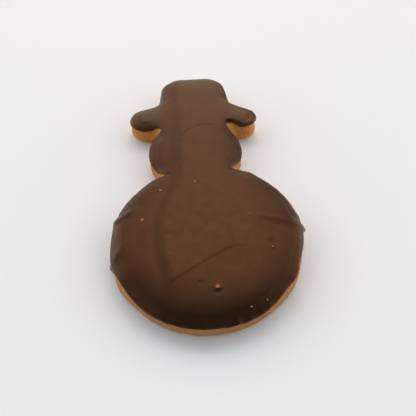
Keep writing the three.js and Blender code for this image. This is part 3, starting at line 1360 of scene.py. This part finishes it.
@dataclass(frozen=True)
class MilkChocolate:
    """Set milk chocolate: satin and paler in the second pour, with painted light in its colour: a
    greyish-green painted sheen on the brim's wings, a painted highlight along the hem and painted
    shade darkening it towards the near edge.
    """

    first: Colour = (0.025, 0.0082, 0.0046)
    pour: Colour = (0.034, 0.0142, 0.0082)
    poured: Band = Band(0.0, 1.0)
    # painted sheen: a lighter, greener colour on the brim's wings stands in for their reflection
    painted_wing_sheen: Colour = (0.04, 0.026, 0.014)
    winged: Band = Band(0.0, -1.0)
    cloudy: Colour = (0.028, 0.0098, 0.0055)
    clouds: Clouds = Clouds(9.0, 3.0)
    clouded: Band = Band(0.45, 0.7, 0.0, 0.6)
    # painted shade: the colour darkens towards the near edge, by place along Y
    painted_near_shade: Colour = (0.0175, 0.0095, 0.0064)
    near: Band = Band(-36.0, -53.0)
    # painted highlight: the pale colour laid along the hem and just above it
    lip: Colour = (0.17, 0.1, 0.07)
    glint: Colour = (1.0, 0.43, 0.16)
    gloss: float = 0.44
    refraction: float = 1.5
    smears: Clouds = Clouds(3.0, 3.0)
    roughness: Band = Band(0.3, 0.7, 0.29, 0.38)
    ripples: Clouds = Clouds(2.2, 2.0)
    ripple: float = 0.008

    def material(self) -> Material:
        """Build the node material.

        Returns:
            The material.
        """
        recipe = Recipe("milk_chocolate")
        tone = recipe.stored(Layer.TONE)
        layers = (
            (tone, self.poured, self.pour),
            # painted sheen on the brim's wings
            (tone, self.winged, self.painted_wing_sheen),
            (recipe.clouds(self.clouds), self.clouded, self.cloudy),
            # painted shade towards the near edge
            (recipe.along("Y"), self.near, self.painted_near_shade),
        )
        colour = recipe.layered(self.first, layers)
        # the painted highlight along the hem is mixed in by the stored hem value
        recipe.feed("Base Color", recipe.mix(recipe.stored(Layer.HEM_HIGHLIGHT), colour, self.lip))
        recipe.feed("Roughness", recipe.spread(recipe.clouds(self.smears), self.roughness))
        recipe.plain("IOR", self.refraction)
        recipe.plain("Specular IOR Level", self.gloss)
        recipe.plain("Specular Tint", (*self.glint, 1.0))
        recipe.bump(recipe.clouds(self.ripples), self.ripple)
        return recipe.material


@dataclass(frozen=True)
class BakedCrumb:
    """Baked gingerbread: matt and porous, more golden under the chocolate's edge, with painted shade
    darkening its pores.
    """

    low: Colour = (0.37, 0.195, 0.072)
    high: Colour = (0.5, 0.205, 0.044)
    rise: Band = Band(1.5, 6.2)
    golden: Colour = (0.61, 0.255, 0.055)
    thin: Band = Band(15.0, 24.0)
    toasted: Colour = (0.32, 0.135, 0.04)
    toast_clouds: Clouds = Clouds(2.4, 4.0)
    toast: Band = Band(0.5, 0.78, 0.0, 0.6)
    foot: Band = Band(0.9, 0.05, 0.0, 0.55)
    # painted shade: the pores are darkened in colour for the shade in their hollows
    painted_pore_shade: Colour = (0.16, 0.07, 0.025)
    pore_spacing: float = 0.75
    pits: Band = Band(0.3, 0.1, 0.0, 0.65)
    pit_walls: Band = Band(0.32, 0.1, 1.0, 0.0)
    pit_depth: float = 0.09
    crumb: Clouds = Clouds(0.5, 4.0, 0.65)
    grain: float = 0.07
    roughness: float = 0.88
    gloss: float = 0.3

    def material(self) -> Material:
        """Build the node material.

        Returns:
            The material.
        """
        recipe = Recipe("baked_gingerbread")
        height, cells = recipe.along("Z"), recipe.cells(self.pore_spacing)
        layers = (
            (height, self.rise, self.high),
            (recipe.along("Y"), self.thin, self.golden),
            (recipe.clouds(self.toast_clouds), self.toast, self.toasted),
            (height, self.foot, self.toasted),
            # painted shade in the pores
            (cells, self.pits, self.painted_pore_shade),
        )
        recipe.feed("Base Color", recipe.layered(self.low, layers))
        recipe.plain("Roughness", self.roughness)
        recipe.plain("Specular IOR Level", self.gloss)
        recipe.bump(recipe.clouds(self.crumb), self.grain)
        recipe.bump(recipe.spread(cells, self.pit_walls), self.pit_depth)
        return recipe.material


@dataclass(frozen=True)
class CrumbTone:
    """The finish of loose crumbs that set in the chocolate."""

    name: str
    colour: Colour
    shade: Colour
    clouds: Clouds = Clouds(0.35, 3.0)
    shaded: Band = Band(0.35, 0.65)
    roughness: float = 0.62
    crumb: Clouds = Clouds(0.25, 2.0)
    grain: float = 0.04

    def material(self) -> Material:
        """Build the node material.

        Returns:
            The material.
        """
        recipe = Recipe(self.name)
        layers = ((recipe.clouds(self.clouds), self.shaded, self.shade),)
        recipe.feed("Base Color", recipe.layered(self.colour, layers))
        recipe.plain("Roughness", self.roughness)
        recipe.bump(recipe.clouds(self.crumb), self.grain)
        return recipe.material


@dataclass(frozen=True)
class StudioFloorFinish:
    """The plain pale floor."""

    colour: Colour = (0.94, 0.955, 0.975)
    roughness: float = 0.7
    gloss: float = 0.2

    def material(self) -> Material:
        """Build the node material.

        Returns:
            The material.
        """
        recipe = Recipe("studio_floor")
        recipe.plain("Base Color", (*self.colour, 1.0))
        recipe.plain("Roughness", self.roughness)
        recipe.plain("Specular IOR Level", self.gloss)
        return recipe.material


# ---------------------------------------------------------------- the pieces


@dataclass
class GingerbreadSlab:
    """The baked biscuit: a slab whose side flares to a widest line low down."""

    plan: Plan
    shift: Vector
    thickness: float
    columns: int = 1000
    cell: float = 0.62
    inset_low: float = 0.1
    inset_high: float = 1.2
    spread_line: float = 2.2
    foot_round: float = 2.2
    top_round: float = 1.9
    foot_rings: int = 6
    side_rings: int = 15
    top_rings: int = 5
    lumps: Grain = Grain(0.16, 6.0, 2, 5.3)
    grain: Grain = Grain(0.05, 0.9, 2, 1.9)
    pores: Pores = Pores(0.16, 1.5, 2.2)
    tray_pits: Pores = Pores(0.22, 2.3, 6.1)
    tray_grain: Grain = Grain(0.05, 1.4, 2, 4.4)
    finish: BakedCrumb = field(default_factory=BakedCrumb)

    def __post_init__(self) -> None:
        """Trace the widest outline."""
        self.edge = Edge(self.plan.biscuit, self.plan.body, self.columns)

    def inset(self, z: Array) -> Array:
        """Return how far the side lies inside the widest outline at each height."""
        rise = fade(z, self.spread_line, self.thickness)
        return self.inset_low + rise * (self.inset_high - self.inset_low)

    def stations(self) -> list[tuple[float, float]]:
        """List the side's profile from the foot to the top.

        Returns:
            Depth and height of each ring.
        """
        foot = [
            (self.foot_round * (1.0 - math.sin(turn)), self.foot_round * (1.0 - math.cos(turn)))
            for turn in np.linspace(0.0, math.pi / 2, self.foot_rings + 1)
        ]
        low, high = self.foot_round, self.thickness - self.top_round
        side = [(0.0, z) for z in np.linspace(low, high, self.side_rings + 1)[1:]]
        top = [
            (self.top_round * (1.0 - math.cos(turn)), high + self.top_round * math.sin(turn))
            for turn in np.linspace(0.0, math.pi / 2, self.top_rings + 1)[1:]
        ]
        return foot + side + top

    def ring(self, depth: float, height: float) -> Ring:
        """Work out a ring of the side, pushed in and out as baked dough has it.

        Args:
            depth: How far inside the side's own line the ring lies.
            height: The ring's height.

        Returns:
            The ring's places.
        """
        z = np.full(self.edge.count, height)
        inset = depth + self.inset(z)
        points = np.column_stack((*self.edge.inset(inset), z))
        push = self.lumps.at(points) + self.grain.at(points) - self.pores.at(points)
        return (*self.edge.inset(inset - push), z)

    @staticmethod
    def tray(x: Array, y: Array) -> Array:
        """Return the tray's height, zero everywhere."""
        return np.zeros_like(x + y)

    def underside(self, x: Array, y: Array) -> Array:
        """Return the height of the shallow pits in the underside."""
        points = over_plan(x, y)
        return self.tray_pits.at(points) + np.abs(self.tray_grain.at(points))

    def build(self) -> Piece:
        """Grow the slab from its underside to its top.

        Returns:
            The slab.
        """
        skin = RingSkin(self.columns, self.shift)
        rings = [self.ring(depth, height) for depth, height in self.stations()]
        skin.lay(*rings[0])
        depth = self.foot_round + self.inset_low
        skin.fine_cap(self.edge, depth, self.cell, self.tray, self.underside)
        for ring in rings[1:]:
            skin.grow(*ring)
        skin.plain_cap()
        piece = skin.finish("gingerbread_slab", self.finish.material())
        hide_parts(Node.GINGERBREAD.value)
        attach(piece, "root")
        return piece


@dataclass
class ChocolateCoat:
    """The poured coat: a skin over the top and the upper side, with a rolled hem."""

    plan: Plan
    shift: Vector
    slab: GingerbreadSlab
    columns: int = 1000
    cell: float = 0.46
    level_rounds: int = 36
    wall_depth: float = 2.4
    wall_rings: int = 26
    upright_most: float = 0.35
    detail_in: Ramp = Ramp(0.0, 0.8)
    foot_rounds: int = 60
    brim_reach: float = 5.0
    clearance: float = 0.08
    thinnest: float = 0.35
    pocket_rings: int = 6
    pocket_levels: int = 60
    lip_height: float = 0.3
    lip_rings: int = 6
    # painted highlight: how strongly the wall just above the hem is painted pale
    painted_hem_highlight: float = 0.4
    hem_highlight_grain: Grain = Grain(0.4, 1.8, 3, 4.6)
    hem_highlight_rise: float = 0.9
    beads: tuple[Bead, ...] = (
        Bead(164.0, 1.3, 0.5, 2.8, 7.4),
        Bead(-167.0, 1.2, 0.8, 0.9, 4.6),
        Bead(1.0, 1.0, 1.35, 2.9, 6.2),
    )
    finish: MilkChocolate = field(default_factory=MilkChocolate)

    def __post_init__(self) -> None:
        """Work out the outline, the relief and the hem from the plan."""
        self.edge = Edge(self.plan.coat, self.plan.body, self.columns)
        self.relief = CoatRelief(self.plan)
        self.hem = Hem(self.plan)

    def pocket_depth(self, z: Array) -> Array:
        """Return how far inside the biscuit's outline the coat's inner wall lies."""
        bend = 1.0 + (z - self.slab.thickness - self.clearance) / self.slab.top_round
        return self.slab.inset(z) - self.clearance + self.slab.top_round * rounding(bend)

    def inner_depth(self, z: Array, cover: Array) -> Array:
        """Return how far inside the coat's own outline its inner wall lies."""
        return np.maximum(self.pocket_depth(z) - cover, self.thinnest)

    def level(self, x: Array, y: Array) -> Array:
        """Return the height of the crown with its shoulder, before any detail."""
        depth = np.maximum(self.edge.depth_at(x, y), self.slab.edge.depth_at(x, y))
        return self.relief.crowned(depth) - self.relief.shoulder(depth)

    def brim_rise(self, x: Array, y: Array, depth: Array) -> Array:
        """Return how far the right brim's high hem lifts the surface beside it."""
        return self.hem.brim_lift.at(x, y) * closeness(depth, self.brim_reach)

    def lifted_level(self, x: Array, y: Array) -> Array:
        """Return the crown's height with the lift beside the right brim's hem."""
        return self.level(x, y) + self.brim_rise(x, y, self.edge.depth_at(x, y))

    def wall(self, share: float, start: Array, foot: Array, top: Array) -> Pair:
        """Work out the outer wall's profile at a share of its length.

        Args:
            share: 0 at the hem and 1 where the wall meets the top.
            start: The heights at which the wall begins, upright.
            foot: The heights from which it rounds over.
            top: The heights at which it meets the top.

        Returns:
            Depth inside the coat's outline, and height.
        """
        reach, drop = self.relief.shoulder_reach, self.relief.shoulder_drop
        last = math.acos(1.0 - self.wall_depth / reach)
        upright = foot - start
        below = np.minimum(upright / (upright + drop * last), self.upright_most)
        walked = upright * np.minimum(share / np.maximum(below, TINY), 1.0)
        turn = last * np.maximum(share - below, 0.0) / (1.0 - below)
        bow = 1.0 - np.sin(turn) / math.sin(last)
        height = top - (top - foot) * bow - np.maximum(upright - walked, 0.0)
        return reach * (1.0 - np.cos(turn)), height

    def ring(self, depth: Array, z: Array) -> Ring:
        """Work out a ring of the coat, pushed out where a bead of chocolate set.

        Args:
            depth: How far inside the outline the ring lies.
            z: The ring's heights.

        Returns:
            The ring's places.
        """
        place = self.edge.inset(depth)
        push = sum(bead.at(self.plan, *place, z) for bead in self.beads)
        return (*self.edge.inset(depth - push), z)

    def clear_of_slab(self, hem: Array, cover: Array) -> Array:
        """Raise the hem where the coat's outline lies inside the slab's rounded shoulder.

        Args:
            hem: The hem's heights.
            cover: How far inside the biscuit's outline the coat's outline lies.

        Returns:
            The hem's heights, clear of the slab.
        """
        roof = self.slab.thickness + self.clearance
        levels = np.linspace(self.slab.spread_line, roof, self.pocket_levels)
        least = np.interp(cover + self.thinnest, self.pocket_depth(levels), levels, left=0.0)
        return np.maximum(hem, least)

    def grow_pocket(self, skin: RingSkin, start: Array, cover: Array) -> None:
        """Grow the inner wall from its hidden roof down to the hem.

        Args:
            skin: The coat's skin, with its first ring not laid yet.
            start: The heights at which the wall ends.
            cover: How far inside the biscuit's outline the coat's outline lies.
        """
        roof = self.slab.thickness + self.clearance
        place = skin.lay
        for turn in np.linspace(math.pi / 2, 0.0, self.pocket_rings + 1):
            z = start + (roof - start) * math.sin(turn)
            place(*self.edge.inset(self.inner_depth(z, cover)), z)
            place = skin.grow

    def grow_lip(self, skin: RingSkin, hem: Array, inner: Array) -> None:
        """Grow the rolled lip from the inner wall round to the outer one, painted with the hem's
        highlight in full.

        Args:
            skin: The coat's skin.
            hem: The lip's lowest heights.
            inner: How far inside the outline the inner wall ends.
        """
        for turn in np.linspace(math.pi, 0.0, self.lip_rings + 1)[1:]:
            depth = inner * (1.0 - math.cos(turn)) / 2
            skin.grow(*self.ring(depth, hem + self.lip_height * (1.0 - math.sin(turn))))
            # the lip takes the painted highlight in full
            skin.mark(np.ones(self.edge.count))

    def grow_wall(self, skin: RingSkin, start: Array) -> None:
        """Grow the outer wall up to the top, with a painted highlight just above the hem.

        Args:
            skin: The coat's skin.
            start: The heights at which the wall begins.
        """
        edge = self.edge
        foot = np.maximum(start, eased(self.level(edge.x, edge.y), self.foot_rounds))
        top = self.level(*edge.inset(self.wall_depth))
        raised = self.hem.brim_lift.at(edge.x, edge.y)
        painted_hem_highlight = self.painted_hem_highlight + self.hem_highlight_grain.at(np.column_stack((edge.x, edge.y, start)))
        for share in np.linspace(0.0, 1.0, self.wall_rings + 1)[1:]:
            depth, height = self.wall(share, start - raised, foot - raised, top)
            place = edge.inset(depth)
            height = height + self.brim_rise(*place, depth)
            detail = self.relief.detail(*place) * self.detail_in.at(share)
            skin.grow(*self.ring(depth, height + detail))
            # painted highlight, fading upwards from the hem
            skin.mark(painted_hem_highlight * closeness(height - start, self.hem_highlight_rise))

    def build(self) -> Piece:
        """Grow the coat from its hidden roof, down round the hem and up over the top.

        Returns:
            The coat.
        """
        skin = RingSkin(self.columns, self.shift)
        edge, detail = self.edge, self.relief.detail
        cover = self.slab.edge.depth_at(edge.x, edge.y)
        hem = self.clear_of_slab(self.hem.at(edge.x, edge.y), cover)
        start = hem + self.lip_height
        self.grow_pocket(skin, start, cover)
        self.grow_lip(skin, hem, self.inner_depth(start, cover))
        self.grow_wall(skin, start)
        skin.fine_cap(
            edge, self.wall_depth, self.cell, self.lifted_level, detail, self.level_rounds
        )
        skin.close_start()
        skin.paint(Layer.TONE, self.relief.tone)
        piece = skin.finish("milk_chocolate_coat", self.finish.material())
        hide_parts(Node.CHOCOLATE.value)
        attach(piece, "root")
        return piece


@dataclass(frozen=True)
class Crumb:
    """One crumb: its place in plan and its half sizes."""

    x: float
    y: float
    width: float
    length: float
    height: float


@dataclass
class Crumbs:
    """Crumbs of one kind that set in the chocolate's surface."""

    name: str
    coat: ChocolateCoat
    crumbs: tuple[Crumb, ...]
    tone: CrumbTone
    sunk: float = 0.3
    subdivisions: int = 3
    uneven: float = 0.35
    uneven_scale: float = 1.6
    seed: float = 0.9
    seed_steps: tuple[float, float] = (3.1, -1.7)

    def middle(self, crumb: Crumb) -> Vector:
        """Work out a crumb's middle, sunk a little in the chocolate under it.

        Args:
            crumb: The crumb.

        Returns:
            Its middle in the frame, in millimetres.
        """
        place = (np.array([crumb.x]), np.array([crumb.y]))
        top = self.coat.level(*place) + self.coat.relief.detail(*place)
        height = top[0] - self.sunk * crumb.height
        return Vector((crumb.x + self.coat.shift.x, crumb.y + self.coat.shift.y, height))

    def build(self) -> Piece:
        """Make each crumb from a ball, roughened and sunk in the chocolate.

        Returns:
            The crumbs, as one piece.
        """
        shape = bmesh.new()
        for number, crumb in enumerate(self.crumbs):
            ball = bmesh.ops.create_icosphere(shape, subdivisions=self.subdivisions, radius=1.0)
            middle = self.middle(crumb)
            size = Vector((crumb.width, crumb.length, crumb.height))
            seed = Vector((*(step * number for step in self.seed_steps), self.seed))
            for vertex in ball["verts"]:
                swell = 1.0 + self.uneven * noise.noise(vertex.co * self.uneven_scale + seed)
                vertex.co = (middle + vertex.co * size * swell) * MM
        bmesh.ops.recalc_face_normals(shape, faces=shape.faces)
        piece = finished_piece(shape, self.name, self.tone.material())
        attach(piece, "root")
        return piece


# ---------------------------------------------------------------- studio


@dataclass(frozen=True)
class Sky:
    """Soft surroundings: a bright far side and side walls, dim over the near side."""

    turn: float = 7.0
    far: Band = Band(0.13, 0.55, 0.15, 2.9)
    middle: Band = Band(0.05, 0.45, 1.0, 0.62)
    above: Band = Band(0.42, 0.8, 0.25, 1.0)
    walls: Band = Band(0.4, 0.78, 0.0, 2.1)
    wall_tops: Band = Band(0.25, 0.6, 1.0, 0.58)
    near_walls: Band = Band(-0.45, 0.1, 0.75, 1.0)
    white: Colour = (1.0, 0.99, 0.97)
    warm: Colour = (1.0, 0.76, 0.45)
    warm_low: Band = Band(0.85, 0.5)
    plain: Colour = (1.0, 0.995, 0.99)
    plain_sides: Band = Band(0.3, 0.6)
    cool: Colour = (0.95, 0.98, 1.03)
    cool_near: Band = Band(0.55, 0.1)

    def build(self) -> None:
        """Set the world up, by the direction that is looked in."""
        world = bpy.data.worlds.new("studio")
        world.use_nodes = True
        bpy.context.scene.world = world
        graph = Graph(world.node_tree)
        direction = graph.node("ShaderNodeTexCoord")
        parts = graph.node("ShaderNodeSeparateXYZ")
        turned = graph.node("ShaderNodeMapping", {"Rotation": (0.0, 0.0, math.radians(self.turn))})
        graph.join(direction.outputs["Generated"], turned.inputs["Vector"])
        graph.join(turned.outputs["Vector"], parts.inputs["Vector"])
        across, along, up = (parts.outputs[axis] for axis in "XYZ")
        aside = graph.work_out("ABSOLUTE", across)
        far = graph.product((along, self.far), (aside, self.middle), (up, self.above))
        walls = graph.product((aside, self.walls), (up, self.wall_tops), (along, self.near_walls))
        layers = (
            (up, self.warm_low, self.warm),
            (aside, self.plain_sides, self.plain),
            (along, self.cool_near, self.cool),
        )
        background = world.node_tree.nodes["Background"]
        graph.join(graph.layered(self.white, layers), background.inputs["Color"])
        graph.join(graph.work_out("ADD", far, walls), background.inputs["Strength"])


@dataclass(frozen=True)
class FarLamp:
    """A soft rectangular lamp beyond the biscuit, facing it. Metres and watts."""

    place: tuple[float, float, float] = (0.0, 0.75, 0.3)
    size: tuple[float, float] = (0.7, 0.3)
    power: float = 0.8
    colour: Colour = (1.0, 0.84, 0.66)

    def build(self) -> None:
        """Hang the lamp."""
        light = bpy.data.lights.new("far_lamp", "AREA")
        light.shape = "RECTANGLE"
        light.size, light.size_y = self.size
        light.energy = self.power
        light.color = self.colour
        lamp = bpy.data.objects.new("far_lamp", light)
        lamp.location = self.place
        lamp.rotation_euler = (-Vector(self.place)).to_track_quat("-Z", "Y").to_euler()
        bpy.context.scene.collection.objects.link(lamp)


@dataclass(frozen=True)
class StudioCamera:
    """The camera: its place, lens and sensor in millimetres, and its angles in degrees.

    The nearest distance that it sees is in metres.
    """

    place: tuple[float, float, float] = (-7.06, -96.4, 110.8)
    pitch: float = 52.0
    turn: float = -5.5
    lens: float = 34.615
    sensor: float = 36.0
    nearest: float = 0.005

    def build(self) -> None:
        """Set the camera up."""
        data = bpy.data.cameras.new("camera")
        data.lens = self.lens
        data.sensor_width = self.sensor
        data.clip_start = self.nearest
        camera = bpy.data.objects.new("camera", data)
        camera.location = Vector(self.place) * MM
        tip = math.radians(90.0 - self.pitch)
        camera.rotation_euler = Euler((tip, 0.0, math.radians(self.turn)))
        bpy.context.scene.collection.objects.link(camera)
        bpy.context.scene.camera = camera


@dataclass
class Studio:
    """A pale floor, a bright far side, and the camera. Metres."""

    floor_level: float
    floor_gap: float = 0.00005
    floor_half: float = 1.6
    floor_cells: int = 4

    def floor(self) -> None:
        """Lay the floor just under the biscuit."""
        shape = bmesh.new()
        level = Matrix.Translation((0.0, 0.0, self.floor_level - self.floor_gap))
        cells = self.floor_cells
        bmesh.ops.create_grid(
            shape, x_segments=cells, y_segments=cells, size=self.floor_half, matrix=level
        )
        piece = finished_piece(shape, "studio_floor", StudioFloorFinish().material())

    def build(self) -> None:
        """Set up the floor, the light and the camera."""
        self.floor()
        for part in (Sky(), FarLamp(), StudioCamera()):
            part.build()
        bpy.context.scene.view_settings.view_transform = "Standard"


# ---------------------------------------------------------------- assembly


def plan_middle(plan: Plan) -> Vector:
    """Return the middle of the biscuit's box in the plan's own coordinates."""
    line = Edge(plan.biscuit, plan.body, MIDDLE_COLUMNS)
    return Vector((line.x.min() + line.x.max(), line.y.min() + line.y.max())) / 2


def crumb_pieces(coat: ChocolateCoat) -> tuple[Crumbs, Crumbs]:
    """Place the crumbs that set in the chocolate.

    Args:
        coat: The coat that they set in.

    Returns:
        The toasted crumbs and the pale ones.
    """
    toasted = Crumbs(
        "toasted_crumbs",
        coat,
        (Crumb(1.2, -44.4, 0.62, 0.5, 0.3), Crumb(-20.0, -19.0, 0.58, 0.5, 0.2)),
        CrumbTone("toasted_crumb", (0.5, 0.13, 0.03), (0.3, 0.075, 0.02)),
    )
    pale = Crumbs(
        "pale_crumbs",
        coat,
        (
            Crumb(-14.1, -7.1, 0.42, 0.36, 0.12),
            Crumb(-2.2, -4.6, 0.36, 0.3, 0.12),
            Crumb(14.3, -20.0, 0.2, 0.18, 0.08),
            Crumb(19.1, -32.9, 0.22, 0.2, 0.08),
            Crumb(9.8, -50.7, 0.36, 0.16, 0.06),
            Crumb(14.6, -48.9, 0.14, 0.46, 0.11),
        ),
        CrumbTone("pale_crumb", (0.34, 0.2, 0.12), (0.25, 0.13, 0.075)),
    )
    return toasted, pale


def main() -> None:
    """Build the snowman and its studio, and report each piece."""
    logging.basicConfig(level=logging.INFO, format="%(name)s: %(message)s")
    plan = Plan()
    biscuit_low, biscuit_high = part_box(Node.GINGERBREAD.value)
    shift = (biscuit_low + biscuit_high).xy / 2 / MM - plan_middle(plan)
    Studio(floor_level=biscuit_low.z).build()
    slab = GingerbreadSlab(plan, shift, thickness=biscuit_high.z / MM)
    coat = ChocolateCoat(plan, shift, slab)
    for part in (slab, coat, *crumb_pieces(coat)):
        piece = part.build()
        LOG.info("%s: %d faces", piece.name, len(piece.data.polygons))


if __name__ == "__main__":
    main()
